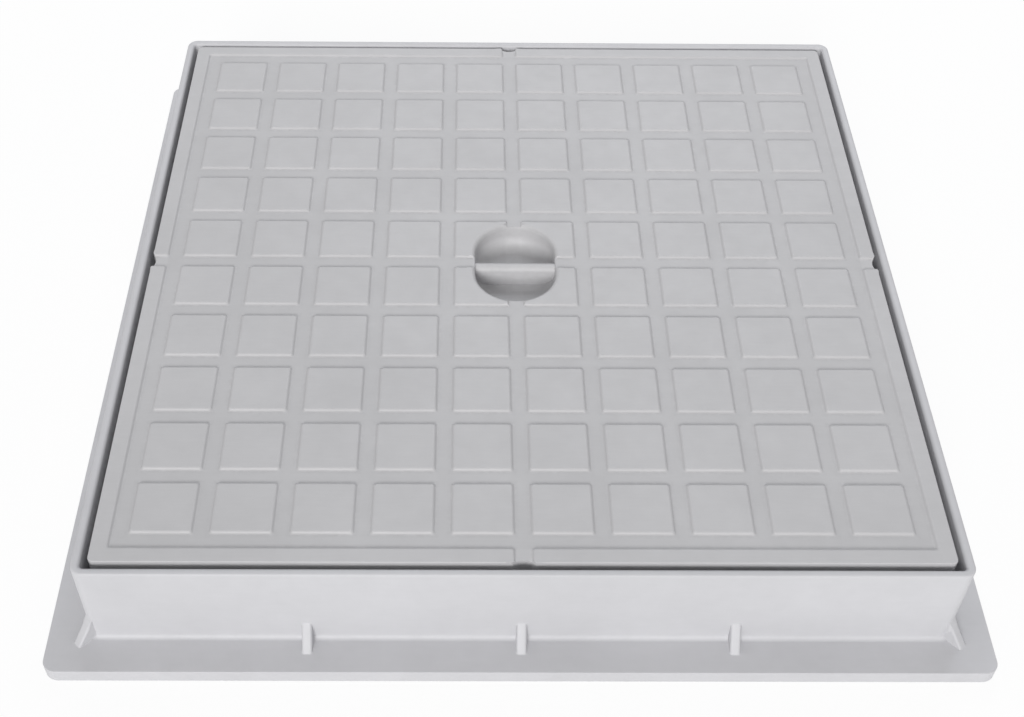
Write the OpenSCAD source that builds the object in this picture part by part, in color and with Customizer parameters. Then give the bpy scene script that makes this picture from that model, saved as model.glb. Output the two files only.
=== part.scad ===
// Square inspection cover: a moulded frame with a base flange, and a loose
// moulded lid with a raised square tread and a sunk finger grip.
// The origin is at the middle of the base, and the lid is in its seat.

/* [Lid] */
// Side of the square lid
lid_w = 400; // [300:5:600]
// Radius of the lid's corners in plan
lid_corner_r = 3; // [1:0.5:6]
// Depth of the lid from its tread to the foot of its skirt
lid_h = 18; // [14:0.5:24]
// Thickness of the plate under the tread
plate_t = 4; // [3:0.5:6]
// Thickness of the skirt round the lid
skirt_t = 4; // [3:0.5:6]
// Thickness of the ribs under the plate
rib_t = 2.5; // [1.5:0.25:4]
// Depth of the ribs below the plate
rib_h = 8; // [4:0.5:8.5]

/* [Tread] */
// Pads along each side of the lid
pad_count = 10; // [4:2:14]
// Width of the grooves between the pads, on their floor
groove_w = 7.5; // [5:0.25:12]
// Height of the pads and of the border above the groove floor
pad_h = 1.2; // [0.6:0.1:2]
// How far the side of a pad leans in over its height
pad_lean = 1; // [0.2:0.1:2]
// Width of the raised border, at its foot
border_w = 8.75; // [6:0.25:14]

/* [Pry notches] */
// Width of the notch in the middle of each side of the lid
notch_w = 11; // [8:0.5:16]
// Depth of a notch into the side of the lid
notch_d = 2; // [1:0.25:2.5]
// Height of a notch, from the tread down
notch_h = 9; // [5:0.5:12]

/* [Finger grip] */
// Radius of the two round ends of the grip pocket
pocket_r = 22; // [18:0.5:26]
// Distance between the centres of the two round ends
pocket_span = 15; // [10:0.5:24]
// Depth of the pocket below the tread
pocket_depth = 15; // [12:0.5:17]
// Radius between the floor and the side of the pocket
pocket_floor_r = 8; // [3:0.5:9]
// Radius of the rounded lip at the mouth of the pocket
pocket_lip_r = 2.5; // [1:0.25:4]
// Thickness of the pocket's shell
pocket_wall = 3; // [2:0.25:4]
// Thickness of the grip bar across the pocket
grip_t = 6; // [4:0.5:8]
// How far the top of the grip bar lies below the tread
grip_drop = 2.5; // [1:0.5:5]

/* [Frame] */
// Height of the frame, with the lid flush in it
frame_h = 60; // [50:1:90]
// Gap between the lid and the rim, on every side
edge_gap = 3; // [1:0.25:4]
// Thickness of the frame's wall and rim
rim_t = 4.2; // [3.2:0.2:6]
// Radius of the frame's outer corners in plan
rim_corner_r = 6; // [4:0.5:9]
// Width of the ledge that the lid sits on
ledge_w = 14; // [9:0.5:20]
// Thickness of the ledge
ledge_t = 4; // [3:0.5:6]

/* [Base flange] */
// Width of the flange outside the wall
flange_w = 19.5; // [14:0.5:40]
// Height of the flange's turned-down edge
flange_h = 8; // [6:0.5:12]
// Thickness of the flange and of its edge
flange_t = 4; // [3:0.5:5]
// Radius of the flange's corners in plan
flange_corner_r = 7; // [5:0.5:12]
// Radius of the fillet between the wall and the flange
foot_r = 2.5; // [1:0.25:4]

/* [Gussets] */
// Gussets along each side of the frame
gusset_count = 3; // [1:1:5]
// Distance between the gussets of one side
gusset_pitch = 102; // [50:1:120]
// Thickness of a gusset
gusset_t = 5; // [3:0.5:8]
// Reach of a gusset over the flange
gusset_reach = 9.6; // [6:0.2:13]
// Height of a gusset above the flange
gusset_h = 12.5; // [8:0.5:20]
// Thickness of the brackets under the ledge
bracket_t = 3; // [2:0.5:5]
// Height of the brackets under the ledge
bracket_h = 14; // [8:0.5:20]

/* [Hidden] */

// Cuts run past the faces they open by this much
over = 1;

// Opening that the lid drops into, and the frame built out from it
seat_w = lid_w + 2 * edge_gap;
frame_w = seat_w + 2 * rim_t;
base_w = frame_w + 2 * flange_w;
clear_w = seat_w - 2 * ledge_w;
seat_corner_r = rim_corner_r - rim_t > 0.5 ? rim_corner_r - rim_t : 0.5;
clear_corner_r = 8;

// Levels, from the base up
ledge_z = frame_h - lid_h;
floor_z = frame_h - pad_h;
plate_z = floor_z - plate_t;

// Tread grid: pads and grooves fill the lid inside its border
field_w = lid_w - 2 * border_w;
pad_pitch = (field_w - groove_w) / pad_count;
pad_w = pad_pitch - groove_w;

// Arc of a notch through its two corners and its deepest point
notch_r = (notch_w * notch_w / 4 + notch_d * notch_d) / (2 * notch_d);

// Square with rounded corners, its arcs kept true
module rounded_square(w, r) {
    square([w, w - 2 * r], center = true);
    square([w - 2 * r, w], center = true);
    for (sx = [-1, 1], sy = [-1, 1])
        translate([sx * (w / 2 - r), sy * (w / 2 - r)])
            circle(r = r, $fn = 32);
}

module rounded_block(w, r, h) {
    linear_extrude(h) rounded_square(w, r);
}

// Plain block about the Z axis, for cuts that reach into a corner
module square_block(w, h) {
    translate([-w / 2, -w / 2, 0]) cube([w, w, h]);
}

// A copy of the children on each of the four sides
module four_sides() {
    for (a = [0:90:270]) rotate(a) children();
}

// Bar along Y of a flat-sided section: wide at the foot by w, leaning by
// lean over the height h, and reaching down by root
module leaning_bar(w, lean, h, root, length) {
    rotate([90, 0, 0])
        linear_extrude(length, center = true)
            polygon([
                [-w / 2, -root], [w / 2, -root], [w / 2, 0],
                [w / 2 - lean, h], [-w / 2 + lean, h], [-w / 2, 0]
            ]);
}

// Upright web standing out from x = 0, with a sloping front that is h high
// there and runs on into the wall by root
module web(reach, h, root, t) {
    rotate([90, 0, 0])
        linear_extrude(t, center = true)
            polygon([[-root, 0], [reach, 0], [-root, h * (1 + root / reach)]]);
}

// Gussets outside the wall, along one side and on one corner
module side_gussets() {
    for (i = [0:gusset_count - 1])
        translate([frame_w / 2, (i - (gusset_count - 1) / 2) * gusset_pitch, flange_h])
            web(gusset_reach, gusset_h, rim_t / 2, gusset_t);
}

module corner_gusset() {
    arc_centre = frame_w / 2 - rim_corner_r;
    translate([arc_centre, arc_centre, flange_h])
        rotate(45) translate([rim_corner_r, 0, 0])
            web(gusset_reach, gusset_h, rim_t / 2, gusset_t);
}

// Brackets inside the wall, under the ledge and in line with the gussets
module ledge_brackets() {
    for (i = [0:gusset_count - 1])
        translate([seat_w / 2, (i - (gusset_count - 1) / 2) * gusset_pitch, ledge_z - ledge_t])
            rotate(180) mirror([0, 0, 1])
                web(ledge_w - bracket_t, bracket_h, rim_t / 2, bracket_t);
}

// Wall with the seat above the ledge and the open throat below it
module wall_and_ledge() {
    difference() {
        rounded_block(frame_w, rim_corner_r, frame_h);
        translate([0, 0, ledge_z])
            rounded_block(seat_w, seat_corner_r, lid_h + over);
        translate([0, 0, -over])
            rounded_block(clear_w, clear_corner_r, frame_h);
        translate([0, 0, -over])
            rounded_block(seat_w, seat_corner_r, ledge_z - ledge_t + over);
    }
}

// Flange with a turned-down edge, hollow beneath
module base_flange() {
    difference() {
        rounded_block(base_w, flange_corner_r, flange_h);
        translate([0, 0, -over])
            rounded_block(base_w - 2 * flange_t, flange_corner_r - flange_t, flange_h - flange_t + over);
        translate([0, 0, -over])
            rounded_block(frame_w - rim_t, rim_corner_r - rim_t / 2, flange_h + 2 * over);
    }
}

// Section of the fillet at the wall's foot: the wall's face is at x = 0, the
// flange's top at y = 0, and the root runs on into both
module foot_section() {
    root = flange_t / 2;
    difference() {
        translate([-root, -root]) square(root + foot_r);
        translate([foot_r, foot_r]) circle(r = foot_r, $fn = 24);
    }
}

module foot_fillet() {
    side = frame_w - 2 * rim_corner_r;
    translate([0, 0, flange_h])
        four_sides() {
            translate([frame_w / 2, 0, 0])
                rotate([90, 0, 0]) linear_extrude(side, center = true) foot_section();
            translate([side / 2, side / 2, 0])
                rotate_extrude(angle = 90, $fn = 32) translate([rim_corner_r, 0]) foot_section();
        }
}

module frame() {
    color("gainsboro") {
        wall_and_ledge();
        base_flange();
        foot_fillet();
        four_sides() side_gussets();
        four_sides() corner_gusset();
        four_sides() ledge_brackets();
    }
}

// Pads: leaning ridges one way, kept where they cross ridges the other way
module pad_ridges() {
    for (i = [0:pad_count - 1])
        translate([(i - (pad_count - 1) / 2) * pad_pitch, 0, 0])
            leaning_bar(pad_w, pad_lean, pad_h, plate_t / 2, field_w);
}

module tread_pads() {
    translate([0, 0, floor_z])
        intersection() {
            pad_ridges();
            rotate(90) pad_ridges();
        }
}

// Raised border, broken in the middle of each side by a groove; its sides
// lean as the pads' do
module border() {
    cut_h = pad_h + over;
    cut_lean = -pad_lean * cut_h / pad_h;
    difference() {
        translate([0, 0, plate_z + plate_t / 2])
            rounded_block(lid_w, lid_corner_r, pad_h + plate_t / 2);
        translate([0, 0, floor_z]) {
            intersection() {
                leaning_bar(field_w, cut_lean, cut_h, 0, lid_w);
                rotate(90) leaning_bar(field_w, cut_lean, cut_h, 0, lid_w);
            }
            for (a = [0, 90])
                rotate(a) leaning_bar(groove_w, cut_lean, cut_h, 0, lid_w + 2 * over);
        }
    }
}

module skirt() {
    difference() {
        translate([0, 0, ledge_z]) rounded_block(lid_w, lid_corner_r, lid_h - pad_h - plate_t / 2);
        translate([0, 0, ledge_z - over]) square_block(lid_w - 2 * skirt_t, lid_h + 2 * over);
    }
}

// Ribs under the grooves, both ways
module rib_grid() {
    for (a = [0, 90], i = [1:pad_count - 1])
        rotate(a) translate([(i - pad_count / 2) * pad_pitch - rib_t / 2, skirt_t / 2 - lid_w / 2, plate_z - rib_h])
            cube([rib_t, lid_w - skirt_t, rib_h + plate_t / 2]);
}

// Right half of a section across a pocket: a side and a floor, with a round
// between them, below y = 0
module pocket_section(r, depth, floor_r) {
    translate([0, -depth]) square([r - floor_r, depth + over]);
    translate([0, floor_r - depth]) square([r, depth - floor_r + over]);
    translate([r - floor_r, floor_r - depth]) circle(r = floor_r, $fn = 48);
}

// What the rounded lip takes off at the top of that section
module lip_section() {
    lip_edge = pocket_r + pocket_lip_r;
    difference() {
        translate([0, -pocket_lip_r]) square([lip_edge, pocket_lip_r + over]);
        translate([lip_edge, -pocket_lip_r]) circle(r = pocket_lip_r, $fn = 48);
    }
}

// The section drawn out along Y below the tread, with a half turn at each end
module two_ended_form() {
    translate([0, 0, frame_h]) {
        for (a = [0, 180])
            rotate(a) translate([0, pocket_span / 2, 0]) rotate_extrude(angle = 180, $fn = 64) children();
        rotate([90, 0, 0])
            linear_extrude(pocket_span, center = true) {
                children();
                mirror([1, 0]) children();
            }
    }
}

// The inside of the pocket grown all round by grow, with no lip
module pocket_body(grow) {
    two_ended_form()
        pocket_section(pocket_r + grow, pocket_depth + grow, pocket_floor_r + grow);
}

module pocket_shell() {
    intersection() {
        pocket_body(pocket_wall);
        translate([0, 0, -over]) square_block(lid_w / 2, floor_z + over - plate_t / 2);
    }
}

// Bar with a round top, standing on the floor of the pocket
module grip_bar() {
    bar_w = 2 * (pocket_r + pocket_wall);
    crown_z = frame_h - grip_drop - grip_t / 2;
    intersection() {
        pocket_body(pocket_wall / 2);
        union() {
            translate([0, 0, crown_z])
                rotate([0, 90, 0]) cylinder(d = grip_t, h = bar_w, center = true, $fn = 32);
            translate([-bar_w / 2, -grip_t / 2, frame_h - bar_w])
                cube([bar_w, grip_t, bar_w - grip_drop - grip_t / 2]);
        }
    }
}

// Notches in the middle of the lid's four sides, for a flat tool
module pry_notches() {
    four_sides()
        translate([lid_w / 2 + notch_r - notch_d, 0, frame_h - notch_h])
            cylinder(r = notch_r, h = notch_h + over, $fn = 48);
}

module lid() {
    color("gainsboro") {
        difference() {
            union() {
                translate([0, 0, plate_z]) rounded_block(lid_w, lid_corner_r, plate_t);
                tread_pads();
                border();
                skirt();
                rib_grid();
                pocket_shell();
            }
            pocket_body(0);
            two_ended_form() lip_section();
            pry_notches();
        }
        grip_bar();
    }
}

frame();
lid();
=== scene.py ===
"""Looks of a square inspection cover: its moulded lid and frame, their plastic, the studio and camera.

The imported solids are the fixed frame. The lid and the frame are copies of them with rounded edges, as a
mould leaves them, and each copy stands for its own solid. Lengths are in metres.
"""

from __future__ import annotations

import logging
import math
from abc import ABC, abstractmethod
from collections.abc import Callable, Collection, Iterable, Iterator
from dataclasses import dataclass, field
from enum import Enum
from typing import Any

import bmesh
import bpy
from mathutils import Matrix, Vector


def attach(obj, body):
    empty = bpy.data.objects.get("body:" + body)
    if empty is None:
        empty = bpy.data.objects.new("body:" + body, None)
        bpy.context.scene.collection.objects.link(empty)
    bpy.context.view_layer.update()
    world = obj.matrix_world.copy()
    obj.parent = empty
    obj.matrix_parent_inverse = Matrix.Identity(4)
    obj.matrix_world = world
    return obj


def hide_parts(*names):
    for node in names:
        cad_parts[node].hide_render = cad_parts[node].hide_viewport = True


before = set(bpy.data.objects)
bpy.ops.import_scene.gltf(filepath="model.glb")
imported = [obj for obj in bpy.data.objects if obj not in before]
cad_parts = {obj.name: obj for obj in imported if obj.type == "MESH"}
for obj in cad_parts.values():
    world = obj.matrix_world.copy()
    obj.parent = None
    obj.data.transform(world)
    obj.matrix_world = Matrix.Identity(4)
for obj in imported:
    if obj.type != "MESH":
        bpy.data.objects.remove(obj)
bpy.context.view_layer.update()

LOG = logging.getLogger("inspection_cover")
BODY = "root"
MM = 0.001
TOP = 60.0 * MM
TREAD_FLOOR = 58.8 * MM
DIGITS = 5

Colour = tuple[float, float, float]


class Value:
    """A number in a shader. Arithmetic on it adds the Math nodes that work it out."""

    def __init__(self, graph: Graph, socket: bpy.types.NodeSocket) -> None:
        """Wraps one output socket.

        Args:
            graph: The node tree that the socket is in.
            socket: The socket that gives the number.
        """
        self.graph = graph
        self.socket = socket

    def __add__(self, other: Number) -> Value:
        """Sum of the two."""
        return self.graph.maths("ADD", self, other)

    def __radd__(self, other: Number) -> Value:
        """Sum, with the plain number first."""
        return self.graph.maths("ADD", other, self)

    def __sub__(self, other: Number) -> Value:
        """Difference of the two."""
        return self.graph.maths("SUBTRACT", self, other)

    def __rsub__(self, other: Number) -> Value:
        """Difference, with the plain number first."""
        return self.graph.maths("SUBTRACT", other, self)

    def __mul__(self, other: Number) -> Value:
        """Product of the two."""
        return self.graph.maths("MULTIPLY", self, other)

    def __rmul__(self, other: Number) -> Value:
        """Product, with the plain number first."""
        return self.graph.maths("MULTIPLY", other, self)

    def __truediv__(self, other: Number) -> Value:
        """Quotient of the two."""
        return self.graph.maths("DIVIDE", self, other)

    def __abs__(self) -> Value:
        """Size without the sign."""
        return self.graph.maths("ABSOLUTE", self)

    def fraction(self) -> Value:
        """What is left above the next whole number down."""
        return self.graph.maths("FRACT", self)

    def smaller(self, other: Number) -> Value:
        """The smaller of the two."""
        return self.graph.maths("MINIMUM", self, other)

    def larger(self, other: Number) -> Value:
        """The larger of the two."""
        return self.graph.maths("MAXIMUM", self, other)

    def ramp(self, start: float, end: float) -> Value:
        """A smooth step from 0 at start to 1 at end.

        Args:
            start: The value at which the step begins.
            end: The value at which it ends, which may be below start.

        Returns:
            The step, from 0 to 1.
        """
        node = self.graph.node(
            "ShaderNodeMapRange",
            {"interpolation_type": "SMOOTHSTEP", "clamp": True},
            {"Value": self, "From Min": start, "From Max": end},
        )
        return Value(self.graph, node.outputs["Result"])


Number = Value | float


class Graph:
    """The node tree of one material or world, and the ways that its nodes are made."""

    def __init__(self, tree: bpy.types.NodeTree) -> None:
        """Empties the tree.

        Args:
            tree: The node tree to fill.
        """
        self.tree = tree
        self.tree.nodes.clear()

    def node(
        self,
        kind: str,
        settings: dict[str, Any] | None = None,
        inputs: dict[str | int, Any] | None = None,
    ) -> bpy.types.Node:
        """Adds a node of any type.

        Args:
            kind: The node's type.
            settings: Its properties, which are set first.
            inputs: A plain value, a Value or a socket for each of its inputs, by name or number.

        Returns:
            The new node.
        """
        node = self.tree.nodes.new(kind)
        for name, setting in (settings or {}).items():
            setattr(node, name, setting)
        for name, given in (inputs or {}).items():
            source = given.socket if isinstance(given, Value) else given
            if isinstance(source, bpy.types.NodeSocket):
                self.tree.links.new(source, node.inputs[name])
            else:
                node.inputs[name].default_value = source
        return node

    def maths(self, operation: str, *terms: Number) -> Value:
        """Adds a Math node.

        Args:
            operation: What the node does with its terms.
            terms: The numbers that it takes.

        Returns:
            The result.
        """
        node = self.node("ShaderNodeMath", {"operation": operation}, dict(enumerate(terms)))
        return Value(self, node.outputs[0])

    def place(self) -> tuple[bpy.types.NodeSocket, Value, Value, Value]:
        """Adds the nodes that give the point on the object.

        Returns:
            The point as a vector, and its X, Y and Z.
        """
        coordinates = self.node("ShaderNodeTexCoord").outputs["Object"]
        parts = self.node("ShaderNodeSeparateXYZ", inputs={"Vector": coordinates})
        x, y, z = (Value(self, socket) for socket in parts.outputs)
        return coordinates, x, y, z

    def noise(
        self, place: bpy.types.NodeSocket, grain: float, detail: float = 2.0, stretch: Colour = (1, 1, 1)
    ) -> Value:
        """Noise about 0.5, with blobs of a given size.

        Args:
            place: The point that the noise is read at.
            grain: The size of its blobs.
            detail: The number of finer layers on top.
            stretch: How many times longer the blobs are along X, Y and Z.

        Returns:
            The noise, from 0 to 1.
        """
        scale = [1 / (grain * length) for length in stretch]
        scaled = self.node("ShaderNodeMapping", inputs={"Vector": place, "Scale": scale})
        node = self.node(
            "ShaderNodeTexNoise", inputs={"Vector": scaled.outputs[0], "Scale": 1.0, "Detail": detail}
        )
        return Value(self, node.outputs["Fac"])

    def tint(self, factor: Number, low: Colour, high: Colour) -> bpy.types.NodeSocket:
        """A colour between two colours.

        Args:
            factor: 0 for the first colour, 1 for the second.
            low: The first colour.
            high: The second colour.

        Returns:
            The socket that gives the colour.
        """
        node = self.node("ShaderNodeMix", {"data_type": "RGBA"}, {0: factor, 6: (*low, 1), 7: (*high, 1)})
        return node.outputs[2]


@dataclass(frozen=True)
class Plastic:
    """A pale moulded plastic: its colour, its fine grain and the marks on it."""

    name: str
    colour: Colour
    shade: float = 0.08
    roughness: float = 0.52
    ior: float = 1.47
    grain: float = 0.45 * MM
    grain_height: float = 0.03 * MM
    grain_gloss: float = 0.1
    cloud: float = 55 * MM
    cloud_depth: float = 0.9
    patch: float = 9 * MM
    patch_depth: float = 0.35
    patch_gloss: float = 0.12
    streak: float = 2.2 * MM
    streak_depth: float = 0.2

    def material(self) -> bpy.types.Material:
        """Makes the material.

        Returns:
            The new material.
        """
        made = bpy.data.materials.new(self.name)
        made.use_nodes = True
        graph = Graph(made.node_tree)
        point, x, y, z = graph.place()
        cloud = graph.noise(point, self.cloud, 3.0) - 0.5
        patch = graph.noise(point, self.patch, 3.0) - 0.5
        grain = graph.noise(point, self.grain)
        # For the lid's tread this adds painted shade in the grooves and at the pads' feet and a painted
        # highlight on the pads' edges; the cloud and patch terms are random tone.
        dark = self.darkening(graph, point, x, y, z) + cloud * self.cloud_depth + patch * self.patch_depth
        tone_factor = (0.5 + dark).smaller(1.0).larger(0.0)
        low = tuple(channel * (1 + self.shade) for channel in self.colour)
        high = tuple(channel * (1 - self.shade) for channel in self.colour)
        bump = graph.node(
            "ShaderNodeBump", inputs={"Height": grain, "Distance": self.grain_height, "Strength": 1.0}
        )
        surface = graph.node(
            "ShaderNodeBsdfPrincipled",
            inputs={
                "Base Color": graph.tint(tone_factor, low, high),
                "Roughness": self.roughness + patch * self.patch_gloss + (grain - 0.5) * self.grain_gloss,
                "IOR": self.ior,
                "Normal": bump.outputs["Normal"],
            },
        )
        graph.node("ShaderNodeOutputMaterial", inputs={"Surface": surface.outputs["BSDF"]})
        return made

    def darkening(self, graph: Graph, point: bpy.types.NodeSocket, x: Value, y: Value, z: Value) -> Value:
        """How much darker than plain the surface is, by its place. Plain plastic has none.

        Args:
            graph: The material's node tree.
            point: The point on the object.
            x: Its X.
            y: Its Y.
            z: Its Z.

        Returns:
            The darkness, where 0.5 is all of the shade and -0.5 is as much lighter.
        """
        return (graph.noise(point, self.streak, stretch=(6, 1, 1)) - 0.5) * self.streak_depth


@dataclass(frozen=True)
class TreadPlastic(Plastic):
    """The lid's plastic, with painted shade in the grooves and at the foot of each pad, and a painted
    highlight along each pad's top edge.
    """

    pitch: float = 37.5 * MM
    pad: float = 30.0 * MM
    border: float = 191.25 * MM
    # Size of the patches that break up the painted shade and highlight.
    painted_patch: float = 3.5 * MM
    scuff: float = 1.4 * MM
    # Strength of the painted shade on the groove floors.
    painted_groove_shade: float = 0.25
    # Strength and reach of the painted shade at each pad's foot.
    painted_foot_shade: float = 0.5
    painted_foot_reach: float = 2.6 * MM
    # Strength and band of the painted highlight along each pad's top edge.
    painted_edge_highlight: float = 0.35
    edge_highlight_start: float = -1.6 * MM
    edge_highlight_end: float = -0.4 * MM
    scuff_depth: float = 0.3

    def darkening(self, graph: Graph, point: bpy.types.NodeSocket, x: Value, y: Value, z: Value) -> Value:
        """How much darker the tread is than plain: painted shade in the grooves and at the pads' feet, a
        painted highlight along the pads' top edges, and random scuff streaks.

        Args:
            graph: The material's node tree.
            point: The point on the object.
            x: Its X.
            y: Its Y.
            z: Its Z.

        Returns:
            The darkness, where 0.5 is all of the shade and -0.5 is as much lighter.
        """
        middle = 0.5 * self.pitch
        across, along = (
            abs((axis / self.pitch).fraction() * self.pitch - middle) - self.pad / 2 for axis in (x, y)
        )
        outside = across.larger(along)
        below_tread = z.ramp(TOP - 0.3 * MM, TREAD_FLOOR + 0.2 * MM)
        low = below_tread * z.ramp(TREAD_FLOOR - 1 * MM, TREAD_FLOOR)
        inside = abs(x).larger(abs(y)).ramp(self.border + 1 * MM, self.border)
        # Patches that break up the painted shade and highlight.
        patchy = graph.noise(point, self.painted_patch, 3.0).ramp(0.25, 0.75)
        # Painted shade at each pad's foot.
        foot_shade = outside.ramp(self.painted_foot_reach, 0.0) * low * inside * patchy
        # Painted highlight along each pad's top edge.
        edge_highlight = outside.ramp(self.edge_highlight_start, self.edge_highlight_end) * (1 - low) * inside * patchy
        scuffs = graph.noise(point, self.scuff, stretch=(9, 1, 1)) - 0.5
        # Painted shade on the groove floors and at the pads' feet; the scuffs are random tone.
        painted_shade = low * inside * self.painted_groove_shade + foot_shade * self.painted_foot_shade
        return painted_shade - edge_highlight * self.painted_edge_highlight + scuffs * self.scuff_depth


class Edge(Enum):
    """The edges of a moulding that are rounded, each with its radius and the number of faces round it."""

    PAD_CORNER = (1.0 * MM, 3)
    TREAD = (0.6 * MM, 3)
    RIM_INSIDE = (2.0 * MM, 4)
    RIM_OUTSIDE = (1.1 * MM, 4)
    GUSSET = (1.2 * MM, 4)
    PLAIN = (0.5 * MM, 2)

    def __init__(self, radius: float, segments: int) -> None:
        """Names the two values.

        Args:
            radius: The radius of the rounding.
            segments: The number of faces round it.
        """
        self.radius = radius
        self.segments = segments


@dataclass
class Moulding(ABC):
    """A moulded piece: a copy of its solid with the edges rounded."""

    node: str
    slot: str
    finish: Plastic
    weld: float = 0.01 * MM
    near: float = 0.05 * MM
    level_normal: float = 1 - 1e-6
    halvings: int = 16
    flat: float = math.radians(0.4)
    crease: float = math.radians(31)
    sharp: float = math.radians(50)

    def build(self) -> bpy.types.Object:
        """Makes the piece in place of its solid and dresses it.

        Returns:
            The finished object.
        """
        piece = bpy.data.objects.new(self.node + "_moulding", self.rounded_mesh())
        bpy.context.scene.collection.objects.link(piece)
        piece.data.materials.append(self.finish.material())
        self.shade(piece)
        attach(piece, BODY)
        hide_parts(self.node)
        LOG.info("%s: %d faces", piece.name, len(piece.data.polygons))
        return piece

    def rounded_mesh(self) -> bpy.types.Mesh:
        """Rounds the edges of the solid's mesh, and drops the normals that it was loaded with.

        Returns:
            The new mesh, smooth all over.
        """
        mesh = bpy.data.meshes.new(self.node + "_moulding")
        shape = self.merged_copy()
        self.split_at_plain_rings(shape)
        self.round_edges(shape)
        bmesh.ops.recalc_face_normals(shape, faces=shape.faces)
        for face in shape.faces:
            face.smooth = True
        shape.to_mesh(mesh)
        shape.free()
        loaded_normals = mesh.attributes.get("custom_normal")
        if loaded_normals is not None:
            mesh.attributes.remove(loaded_normals)
        return mesh

    def shade(self, piece: bpy.types.Object) -> None:
        """Keeps the sharp edges sharp and the flat faces flat, with smooth roundings between them.

        Args:
            piece: The finished piece.
        """
        piece.data.set_sharp_from_angle(angle=self.sharp)
        normals = piece.modifiers.new("flat_faces", "WEIGHTED_NORMAL")
        normals.mode = "FACE_AREA"
        normals.weight = 100
        normals.keep_sharp = True

    def merged_copy(self) -> bmesh.types.BMesh:
        """Copies the solid's mesh, with its flat faces made whole and its levels in plain strips.

        Returns:
            The closed copy.
        """
        shape = bmesh.new()
        shape.from_mesh(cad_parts[self.node].data)
        bmesh.ops.remove_doubles(shape, verts=shape.verts, dist=self.weld)
        upright = [e for e in shape.edges if not self.level_edge(e)]
        bmesh.ops.dissolve_limit(shape, angle_limit=self.flat, verts=[], edges=upright)
        heights = [f.calc_center_median().z for f in shape.faces if self.level_face(f)]
        for height in sorted({round(height, DIGITS) for height in heights}):
            self.lay_out_level(shape, height)
        return shape

    def level_face(self, face: bmesh.types.BMFace) -> bool:
        """Whether the face lies level."""
        return abs(face.normal.z) > self.level_normal

    def level_edge(self, edge: bmesh.types.BMEdge) -> bool:
        """Whether the edge lies inside a level surface."""
        return len(edge.link_faces) == 2 and all(self.level_face(f) for f in edge.link_faces)

    def lay_out_level(self, shape: bmesh.types.BMesh, height: float) -> None:
        """Cuts a level surface into plain strips, and clears its other inner edges.

        Args:
            shape: The piece's mesh, which is changed.
            height: The height of the surface.
        """
        rim = self.edges_at(shape, height, inner=False)
        cuts = [{round(place, DIGITS): place for place in self.cut_places(rim, axis)} for axis in (0, 1)]
        for axis, lines in enumerate(cuts):
            for line in lines.values():
                faces = self.faces_at(shape, height)
                parts = list(dict.fromkeys(p for f in faces for p in (f, *f.edges, *f.verts)))
                point, normal = Vector(), Vector()
                point[axis], normal[axis] = line, 1.0
                bmesh.ops.bisect_plane(
                    shape, geom=parts, dist=self.weld / 10, plane_co=point, plane_no=normal
                )
        inner = self.edges_at(shape, height, inner=True)
        spare = [e for e in inner if not any(self.runs_across(e, axis, 0.0) for axis in (0, 1))]
        bmesh.ops.dissolve_edges(shape, edges=spare, use_verts=True)

    def cut_places(self, rim: Collection[bmesh.types.BMEdge], axis: int) -> Iterator[float]:
        """Where a level surface is cut square to an axis: in line with its straight sides.

        Args:
            rim: The edges round the surface.
            axis: The axis, as 0 or 1.

        Yields:
            The place of each cut along the axis.
        """
        for edge in rim:
            if self.runs_across(edge, axis):
                yield edge.verts[0].co[axis]

    def faces_at(self, shape: bmesh.types.BMesh, height: float) -> list[bmesh.types.BMFace]:
        """The level faces at a height."""
        faces = [f for f in shape.faces if self.level_face(f)]
        return [f for f in faces if abs(f.calc_center_median().z - height) < self.weld]

    def edges_at(
        self, shape: bmesh.types.BMesh, height: float, inner: bool
    ) -> Collection[bmesh.types.BMEdge]:
        """The edges inside a level surface, or those round it, each once and always in the same order."""
        edges = (e for f in self.faces_at(shape, height) for e in f.edges)
        return dict.fromkeys(e for e in edges if self.level_edge(e) == inner)

    def runs_across(self, edge: bmesh.types.BMEdge, axis: int, least: float = 2 * MM) -> bool:
        """Whether the edge is square to an axis and at least so long."""
        step = edge.verts[1].co - edge.verts[0].co
        return abs(step[axis]) < self.weld / 2 and step.length > least

    def split_at_plain_rings(self, shape: bmesh.types.BMesh) -> None:
        """Gives each edge that runs into a plain ring a point where its rounding ends.

        Args:
            shape: The piece's mesh, which is changed.
        """
        for edge in list(shape.edges):
            start, end = edge.verts
            outside = self.clearance(start.co) > 0
            if outside == (self.clearance(end.co) > 0):
                continue
            low, high = 0.0, 1.0
            for _ in range(self.halvings):
                middle = (low + high) / 2
                if (self.clearance(start.co.lerp(end.co, middle)) > 0) == outside:
                    low = middle
                else:
                    high = middle
            if self.near < high * edge.calc_length() < edge.calc_length() - self.near:
                bmesh.utils.edge_split(edge, start, high)

    @abstractmethod
    def clearance(self, point: Vector) -> float:
        """How far a point lies outside the places where the edges stay plain.

        Args:
            point: A point of the piece.

        Returns:
            The distance, which is negative inside such a place.
        """

    @abstractmethod
    def round_edges(self, shape: bmesh.types.BMesh) -> None:
        """Rounds the edges of the piece.

        Args:
            shape: The piece's mesh, which is changed.
        """

    def bevel(
        self, shape: bmesh.types.BMesh, kind: Edge, chosen: Callable[[bmesh.types.BMEdge], bool]
    ) -> None:
        """Rounds the creased edges that pass a test.

        Args:
            shape: The mesh to change.
            kind: The kind of edge, which gives the radius and the number of faces.
            chosen: The test on an edge.
        """
        clear = [e for e in shape.edges if all(self.clearance(v.co) > -self.near for v in e.verts)]
        edges = [e for e in clear if e.is_manifold and e.calc_face_angle() > self.crease and chosen(e)]
        bmesh.ops.bevel(
            shape,
            geom=edges,
            offset=kind.radius,
            offset_type="OFFSET",
            affect="EDGES",
            segments=kind.segments,
            profile=0.5,
            material=-1,
            clamp_overlap=False,
        )
        LOG.info("%s: %d %s edges rounded", self.node, len(edges), kind.name)


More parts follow.
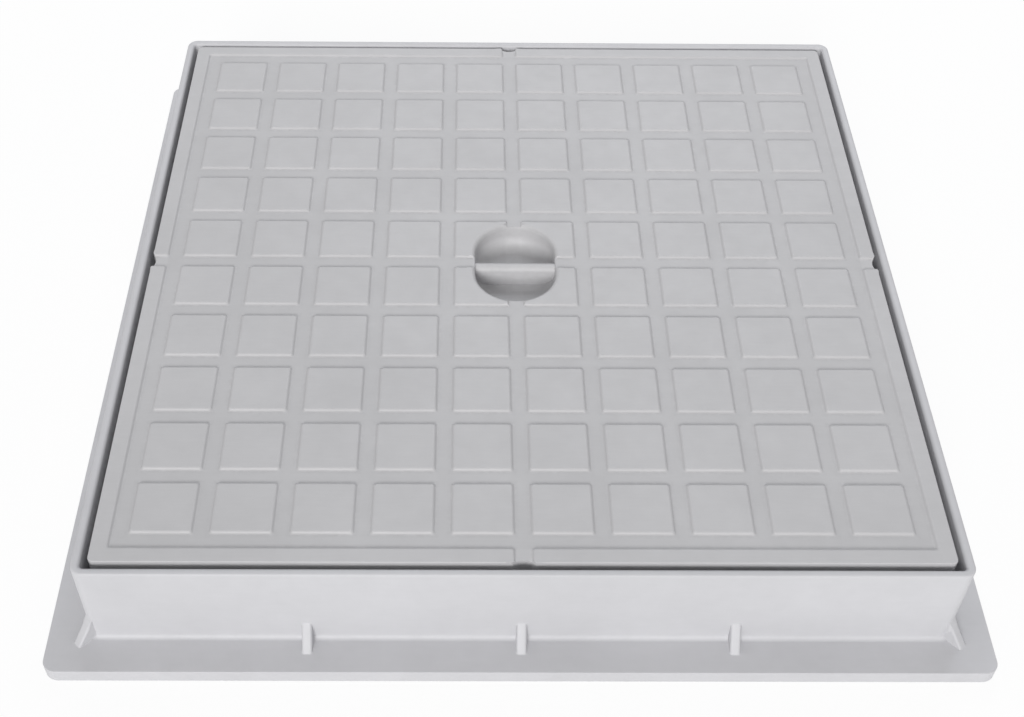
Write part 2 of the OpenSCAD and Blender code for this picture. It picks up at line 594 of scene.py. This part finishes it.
@dataclass
class Lid(Moulding):
    """The lid: raised tread, border, skirt, ribs and the sunk finger grip."""

    node: str = "lid"
    slot: str = "lid_plastic"
    finish: Plastic = field(default_factory=lambda: TreadPlastic("lid_plastic", (0.542, 0.537, 0.546)))
    mouth_centre: float = 7.5 * MM
    mouth_radius: float = 24.5 * MM
    notch_centre: float = 206.56 * MM
    notch_radius: float = 8.56 * MM
    plain_ring: float = 2.3 * MM

    def round_edges(self, shape: bmesh.types.BMesh) -> None:
        """Rounds the pads' upright corners first, and then every other edge of the tread.

        Args:
            shape: The lid's mesh, which is changed.
        """
        self.bevel(shape, Edge.PAD_CORNER, self.on_pad_corner)
        self.bevel(shape, Edge.TREAD, self.on_tread)

    def clearance(self, point: Vector) -> float:
        """How far a point lies outside the plain rings round the pocket's mouth and the notches.

        Args:
            point: A point of the lid.

        Returns:
            The distance, which is negative inside a ring.
        """
        mouth = math.hypot(point.x, max(abs(point.y) - self.mouth_centre, 0.0)) - self.mouth_radius
        along, across = sorted((abs(point.x), abs(point.y)))
        notch = math.hypot(along, across - self.notch_centre) - self.notch_radius
        return min(mouth, notch) - self.plain_ring

    def on_pad_corner(self, edge: bmesh.types.BMEdge) -> bool:
        """Whether the edge runs up the corner of a pad.

        Args:
            edge: An edge of the lid.

        Returns:
            True for such a corner.
        """
        low, high = sorted(vert.co.z for vert in edge.verts)
        whole = abs(low - TREAD_FLOOR) < self.near and abs(high - TOP) < self.near
        return whole and self.slants(edge)

    def slants(self, edge: bmesh.types.BMEdge) -> bool:
        """Whether the edge moves along both X and Y as it rises."""
        step = edge.verts[0].co - edge.verts[1].co
        return abs(abs(step.x) - abs(step.y)) < self.near and abs(step.x) > self.near

    def on_tread(self, edge: bmesh.types.BMEdge) -> bool:
        """Whether the edge is on the walked side of the lid."""
        return min(vert.co.z for vert in edge.verts) > TREAD_FLOOR - self.near


@dataclass
class Frame(Moulding):
    """The frame: rim, wall, ledge, gussets and the flange round its foot."""

    node: str = "frame"
    slot: str = "frame_plastic"
    finish: Plastic = field(default_factory=lambda: Plastic("frame_plastic", (0.585, 0.583, 0.602)))
    rim_middle: float = 205.1 * MM
    flange_top: float = 8.0 * MM
    corner: float = 205.44 * MM
    root_radius: float = 3.8 * MM
    root_top: float = 22.5 * MM
    shortest: float = 0.05 * MM
    slope: float = 1.0 * MM

    def clearance(self, point: Vector) -> float:
        """How far a point lies outside the roots of the four corner gussets."""
        away = math.hypot(abs(point.x) - self.corner, abs(point.y) - self.corner) - self.root_radius
        return max(away, point.z - self.root_top)

    def cut_places(self, rim: Collection[bmesh.types.BMEdge], axis: int) -> Iterator[float]:
        """Where a level surface is cut: across the ends of sides that run on into an arc, else in line.

        Args:
            rim: The edges round the surface.
            axis: The axis, as 0 or 1.

        Yields:
            The place of each cut along the axis.
        """
        for edge in rim:
            bends = {end: self.bend(edge, end, rim) for end in edge.verts}
            arcs = [end for end, turn in bends.items() if self.flat < turn < self.crease]
            if self.runs_across(edge, 1 - axis):
                yield from (end.co[axis] for end in arcs)
            if self.runs_across(edge, axis) and not arcs and max(bends.values()) > self.crease:
                yield edge.verts[0].co[axis]

    def bend(
        self, edge: bmesh.types.BMEdge, end: bmesh.types.BMVert, rim: Collection[bmesh.types.BMEdge]
    ) -> float:
        """How far the rim of a surface turns at one end of an edge.

        Args:
            edge: An edge of the rim.
            end: One of its two ends.
            rim: All edges of the rim.

        Returns:
            The angle to the next edge, which is 0 where the rim runs straight on.
        """
        along = end.co - edge.other_vert(end).co
        others = [e for e in end.link_edges if e in rim and e is not edge]
        return max((along.angle(e.other_vert(end).co - end.co) for e in others), default=0.0)

    def round_edges(self, shape: bmesh.types.BMesh) -> None:
        """Rounds the rim and the gussets well, and then every other creased edge a little.

        Args:
            shape: The frame's mesh, which is changed.
        """
        self.bevel(shape, Edge.RIM_INSIDE, lambda edge: self.on_rim(edge) and not self.outside(edge))
        self.bevel(shape, Edge.RIM_OUTSIDE, lambda edge: self.on_rim(edge) and self.outside(edge))
        self.bevel(shape, Edge.GUSSET, self.on_gusset)
        self.bevel(shape, Edge.PLAIN, lambda edge: edge.calc_length() > self.shortest)

    def on_rim(self, edge: bmesh.types.BMEdge) -> bool:
        """Whether the edge lies at the top of the rim."""
        return min(vert.co.z for vert in edge.verts) > TOP - self.near

    def outside(self, edge: bmesh.types.BMEdge) -> bool:
        """Whether the edge lies beyond the middle of the rim."""
        middle = (edge.verts[0].co + edge.verts[1].co) / 2
        return max(abs(middle.x), abs(middle.y)) > self.rim_middle

    def on_gusset(self, edge: bmesh.types.BMEdge) -> bool:
        """Whether the edge runs up the slope of a gusset outside the wall.

        Args:
            edge: An edge of the frame.

        Returns:
            True for such an edge.
        """
        low, high = sorted(edge.verts, key=lambda vert: vert.co.z)
        step = high.co - low.co
        above = low.co.z > self.flange_top - self.near
        sloping = step.z > self.slope and math.hypot(step.x, step.y) > self.slope
        return above and sloping and self.outside(edge)


@dataclass(frozen=True)
class Lamp:
    """A soft square light, by the direction that it shines from."""

    name: str
    azimuth: float
    elevation: float
    distance: float
    size: float
    power: float
    colour: Colour = (1.0, 1.0, 1.0)
    aim: Colour = (0.0, 0.0, 0.03)

    def place(self) -> None:
        """Makes the light. Azimuth 0 is the front, and it grows towards the right."""
        turn, lift = math.radians(self.azimuth), math.radians(self.elevation)
        away = Vector((math.sin(turn) * math.cos(lift), -math.cos(turn) * math.cos(lift), math.sin(lift)))
        light = bpy.data.lights.new(self.name, "AREA")
        light.shape = "SQUARE"
        light.size = self.size
        light.energy = self.power
        light.color = self.colour
        lamp = bpy.data.objects.new(self.name, light)
        lamp.location = Vector(self.aim) + away * self.distance
        lamp.rotation_mode = "QUATERNION"
        lamp.rotation_quaternion = (-away).to_track_quat("-Z", "Y")
        lamp.visible_camera = False
        bpy.context.scene.collection.objects.link(lamp)


@dataclass(frozen=True)
class Studio:
    """The white floor, the white surroundings and the lights."""

    floor_half: float = 6.0
    floor_drop: float = 0.02 * MM
    floor_grey: float = 0.86
    floor_glow: float = 0.9
    floor_white: float = 1.015
    white: float = 0.985
    ambient: float = 0.385
    lamps: tuple[Lamp, ...] = (
        Lamp("front_softbox", -10.0, 26.0, 12.0, 4.0, 970.0),
        Lamp("rear_softbox", 172.0, 45.0, 2.4, 1.2, 17.5, (0.92, 0.95, 1.0)),
    )

    def build(self) -> None:
        """Makes the floor, the surroundings and the lights."""
        self.lay_floor()
        self.light_surroundings()
        for lamp in self.lamps:
            lamp.place()

    def lay_floor(self) -> None:
        """Lays a white floor that keeps a soft shadow."""
        shape = bmesh.new()
        bmesh.ops.create_grid(shape, x_segments=1, y_segments=1, size=self.floor_half)
        mesh = bpy.data.meshes.new("floor")
        shape.to_mesh(mesh)
        shape.free()
        floor = bpy.data.objects.new("floor", mesh)
        floor.location.z = -self.floor_drop
        bpy.context.scene.collection.objects.link(floor)
        mesh.materials.append(self.floor_material())

    def floor_material(self) -> bpy.types.Material:
        """Makes white paper: plain to the light, and partly glowing to the camera so that it stays white.

        Returns:
            The new material.
        """
        made = bpy.data.materials.new("floor_paper")
        made.use_nodes = True
        graph = Graph(made.node_tree)
        paper = graph.node("ShaderNodeBsdfDiffuse", inputs={"Color": (*[self.floor_grey] * 3, 1)})
        white = {"Color": (1, 1, 1, 1), "Strength": self.floor_white}
        glow = graph.node("ShaderNodeEmission", inputs=white)
        seen = self.direct_rays(graph) * self.floor_glow
        shaders = {0: seen, 1: paper.outputs[0], 2: glow.outputs[0]}
        mixed = graph.node("ShaderNodeMixShader", inputs=shaders)
        graph.node("ShaderNodeOutputMaterial", inputs={"Surface": mixed.outputs[0]})
        return made

    def direct_rays(self, graph: Graph) -> Value:
        """Tells what the camera sees from the light on the object.

        Args:
            graph: The node tree to work in.

        Returns:
            1 for what is seen, straight or in a reflection, and 0 for the light on the object.
        """
        path = graph.node("ShaderNodeLightPath")
        camera, glossy, transmission = (
            Value(graph, path.outputs[f"Is {kind} Ray"]) for kind in ("Camera", "Glossy", "Transmission")
        )
        return camera.larger(glossy).larger(transmission)

    def light_surroundings(self) -> None:
        """Makes the surroundings white to look at, and dimmer as light on the object."""
        world = bpy.data.worlds.new("surroundings")
        world.use_nodes = True
        graph = Graph(world.node_tree)
        strength = self.ambient + self.direct_rays(graph) * (self.white - self.ambient)
        white = {"Color": (1, 1, 1, 1), "Strength": strength}
        light = graph.node("ShaderNodeBackground", inputs=white)
        graph.node("ShaderNodeOutputWorld", inputs={"Surface": light.outputs[0]})
        bpy.context.scene.world = world


@dataclass(frozen=True)
class PhotoCamera:
    """The camera at the photograph's place, found from the straight edges of the cover."""

    place: Colour = (-0.0274, -0.5762, 0.6050)
    pitch: float = 47.28
    yaw: float = 0.78
    roll: float = 0.80
    focal_px: float = 1433.7
    centre_px: float = 478.3
    width_px: float = 1024.0
    sensor_mm: float = 36.0
    nearest: float = 0.01
    farthest: float = 50.0

    def build(self) -> None:
        """Makes the camera and gives it to the scene."""
        lens = bpy.data.cameras.new("photo_camera")
        lens.sensor_width = self.sensor_mm
        lens.lens = self.focal_px / self.width_px * self.sensor_mm
        lens.shift_x = 0.5 - self.centre_px / self.width_px
        lens.clip_start = self.nearest
        lens.clip_end = self.farthest
        camera = bpy.data.objects.new("photo_camera", lens)
        turn = (
            Matrix.Rotation(math.radians(-self.yaw), 4, "Z")
            @ Matrix.Rotation(math.radians(90 - self.pitch), 4, "X")
            @ Matrix.Rotation(math.radians(self.roll), 4, "Z")
        )
        camera.matrix_world = Matrix.Translation(self.place) @ turn
        bpy.context.scene.collection.objects.link(camera)
        bpy.context.scene.camera = camera


def main() -> None:
    """Builds the camera, the studio and the two mouldings."""
    logging.basicConfig(level=logging.INFO, format="%(name)s: %(message)s")
    bpy.context.scene.view_settings.view_transform = "Standard"
    PhotoCamera().build()
    Studio().build()
    for moulding in (Frame(), Lid()):
        moulding.build()
    bpy.context.view_layer.update()


if __name__ == "__main__":
    main()
